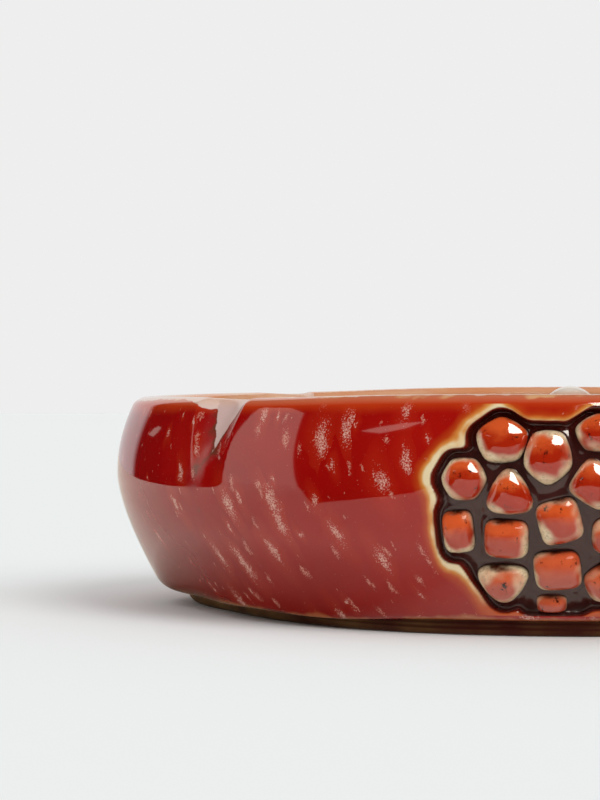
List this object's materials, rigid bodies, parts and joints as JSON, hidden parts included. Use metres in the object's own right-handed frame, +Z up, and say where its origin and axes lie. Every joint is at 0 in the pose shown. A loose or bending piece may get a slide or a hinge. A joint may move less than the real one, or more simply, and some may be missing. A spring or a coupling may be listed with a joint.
{
  "type": "divided serving dish",
  "caption": "Round glazed ceramic serving dish with a pinched, lobed wall, dividers meeting at a domed hub, a foot ring and a sunken relief of pomegranate seeds on its front.",
  "frame": {"origin": "centre of the foot ring's underside, on the table that the dish stands on", "axes": "+Z up; the front, with the seed relief, faces -Y; +X to the right as seen from the front"},
  "size_m": [0.28, 0.281, 0.067],
  "materials": {
    "red_glaze": "gloss",
    "inner_glaze": "gloss",
    "foot_glaze": "gloss",
    "seed_glaze": "gloss"
  },
  "bodies": {
    "root": {"wall": "red_glaze", "floor_slab": "inner_glaze", "foot_ring": "foot_glaze", "divider_hub": "inner_glaze", "divider_front_right": "inner_glaze", "divider_back_right": "inner_glaze", "divider_back_left": "inner_glaze", "divider_front_left": "inner_glaze", "seed_01": "seed_glaze", "seed_02": "seed_glaze", "seed_03": "seed_glaze", "seed_04": "seed_glaze", "seed_05": "seed_glaze", "seed_06": "seed_glaze", "seed_07": "seed_glaze", "seed_08": "seed_glaze", "seed_09": "seed_glaze", "seed_10": "seed_glaze", "seed_11": "seed_glaze", "seed_12": "seed_glaze", "seed_13": "seed_glaze", "seed_14": "seed_glaze", "seed_15": "seed_glaze", "seed_16": "seed_glaze", "seed_17": "seed_glaze", "seed_18": "seed_glaze", "seed_19": "seed_glaze", "seed_20": "seed_glaze"}
  },
  "joints": []
}
